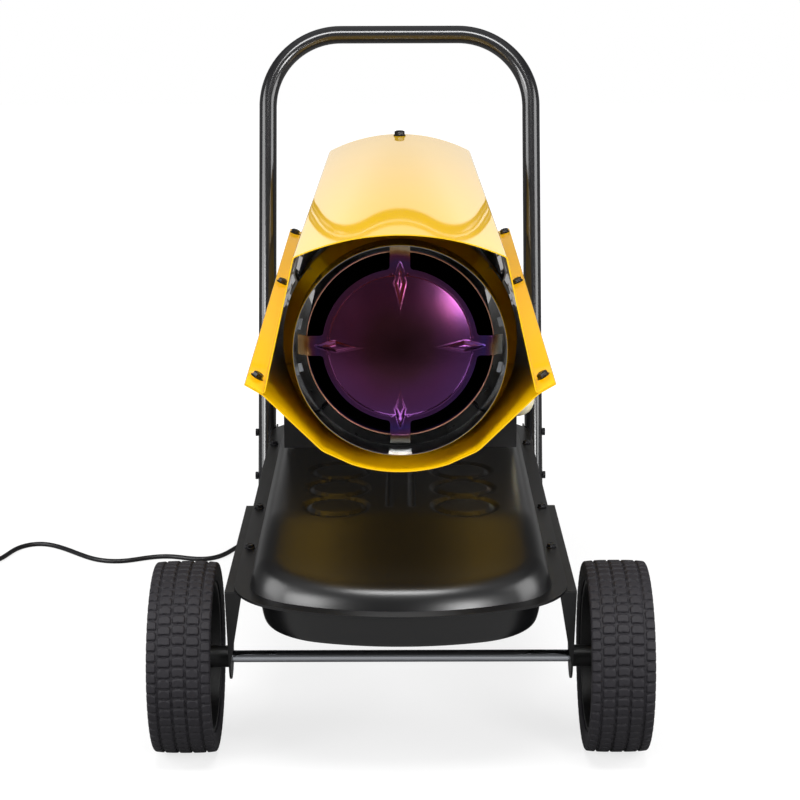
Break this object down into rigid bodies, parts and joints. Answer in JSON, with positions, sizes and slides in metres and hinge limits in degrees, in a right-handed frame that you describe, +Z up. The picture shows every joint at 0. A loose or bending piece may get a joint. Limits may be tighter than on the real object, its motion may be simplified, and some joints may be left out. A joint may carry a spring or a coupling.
{
  "type": "forced air heater",
  "caption": "Wheeled direct-fired forced air heater with a yellow sheet housing, a black pressed fuel tank, a bent tube handle and a coiled mains lead.",
  "frame": {"origin": "middle of the footprint of the heater without its lead, on the floor", "axes": "+Z up, +Y from the air outlet to the handle, +X to the right as seen from the outlet"},
  "size_m": [1.16, 1.254, 0.8995],
  "materials": {
    "tyre_rubber": "moulded solid rubber with a block tread",
    "rim_plastic": "injection-moulded black plastic",
    "tank_black": "satin black powder coat on pressed steel",
    "bracket_black": "satin black powder coat on folded sheet",
    "handle_black": "gloss black powder coat on steel tube",
    "shell_yellow": "gloss yellow powder coat on folded sheet",
    "bright_steel": "bright drawn steel bar",
    "plated_steel": "zinc-plated sheet and fasteners",
    "tinted_steel": "stainless steel with purple and blue heat tint",
    "machine_black": "black engineering plastic",
    "cast_aluminium": "as-cast aluminium",
    "brass_fitting": "turned brass",
    "ceramic": "glazed white ceramic insulator",
    "cream_bowl": "translucent cream nylon",
    "red_plastic": "glossy red plastic",
    "cord_rubber": "black rubber cable sheath",
    "foot_rubber": "moulded black rubber"
  },
  "bodies": {
    "chassis": {"axle": "bright_steel", "axle_cap_left": "handle_black", "wheel_bracket_left": "bracket_black", "handle_bracket_left": "bracket_black", "foot_left": "foot_rubber", "handle_bolt_upper_left": "plated_steel", "handle_bolt_lower_left": "plated_steel", "cone_bracket_left": "plated_steel", "electrode_left": "ceramic", "axle_cap_right": "handle_black", "wheel_bracket_right": "bracket_black", "handle_bracket_right": "bracket_black", "foot_right": "foot_rubber", "handle_bolt_upper_right": "plated_steel", "handle_bolt_lower_right": "plated_steel", "cone_bracket_right": "plated_steel", "electrode_right": "ceramic", "tank_upper": "tank_black", "tank_lower": "tank_black", "drain_plug": "brass_fitting", "nozzle": "brass_fitting", "handle": "handle_black", "rear_guard": "handle_black", "upper_shell": "shell_yellow", "lower_shell": "shell_yellow", "outlet_cone": "plated_steel", "heat_shield": "plated_steel", "burner_head": "plated_steel", "combustion_chamber": "tinted_steel", "flame_deflector": "tinted_steel", "photocell": "machine_black", "air_line": "machine_black", "control_box": "machine_black", "fuel_gauge": "machine_black", "fuel_filter_head": "machine_black", "lead_tie": "machine_black", "motor": "cast_aluminium", "pump_body": "cast_aluminium", "pump_cover": "cast_aluminium", "motor_bracket": "bracket_black", "pedestal_front": "bracket_black", "pedestal_rear": "bracket_black", "fuel_filter_bowl": "cream_bowl", "fuel_line": "cord_rubber", "suction_line": "cord_rubber", "cord_gland": "cord_rubber", "mains_lead": "cord_rubber", "mains_lead_coil": "cord_rubber", "mains_plug": "cord_rubber"},
    "wheel_left": {"tyre_left": "tyre_rubber", "rim_left": "rim_plastic"},
    "wheel_right": {"tyre_right": "tyre_rubber", "rim_right": "rim_plastic"},
    "fan_rotor": {"fan": "machine_black", "motor_shaft": "bright_steel", "pump_rotor": "plated_steel"},
    "filler_cap": {"fuel_cap": "machine_black"},
    "thermostat": {"thermostat_knob": "machine_black"},
    "rocker": {"power_switch": "red_plastic"},
    "reset": {"reset_button": "red_plastic"}
  },
  "joints": [
    {"name": "wheel_left_turn", "type": "hinge", "parent": "chassis", "child": "wheel_left", "pos_m": [-0.2845, -0.411, 0.127], "axis": [1, 0, 0], "continuous": true},
    {"name": "wheel_right_turn", "type": "hinge", "parent": "chassis", "child": "wheel_right", "pos_m": [0.2845, -0.411, 0.127], "axis": [1, 0, 0], "continuous": true},
    {"name": "fan_turn", "type": "hinge", "parent": "chassis", "child": "fan_rotor", "pos_m": [0, 0.167, 0.572], "axis": [0, 1, 0], "continuous": true},
    {"name": "filler_cap_turn", "type": "hinge", "parent": "chassis", "child": "filler_cap", "pos_m": [0.136, 0.149, 0.312], "axis": [0, 0, 1], "range_deg": [0, 90]},
    {"name": "thermostat_turn", "type": "hinge", "parent": "chassis", "child": "thermostat", "pos_m": [-0.176, 0.289, 0.372], "axis": [-1, 0, 0], "range_deg": [0, 270]},
    {"name": "rocker_tilt", "type": "hinge", "parent": "chassis", "child": "rocker", "pos_m": [-0.172, 0.341, 0.376], "axis": [0, 1, 0], "range_deg": [0, 14]},
    {"name": "reset_press", "type": "slide", "parent": "chassis", "child": "reset", "axis": [1, 0, 0], "range_m": [0, 0.002], "stiffness_N_per_m": 400}
  ]
}
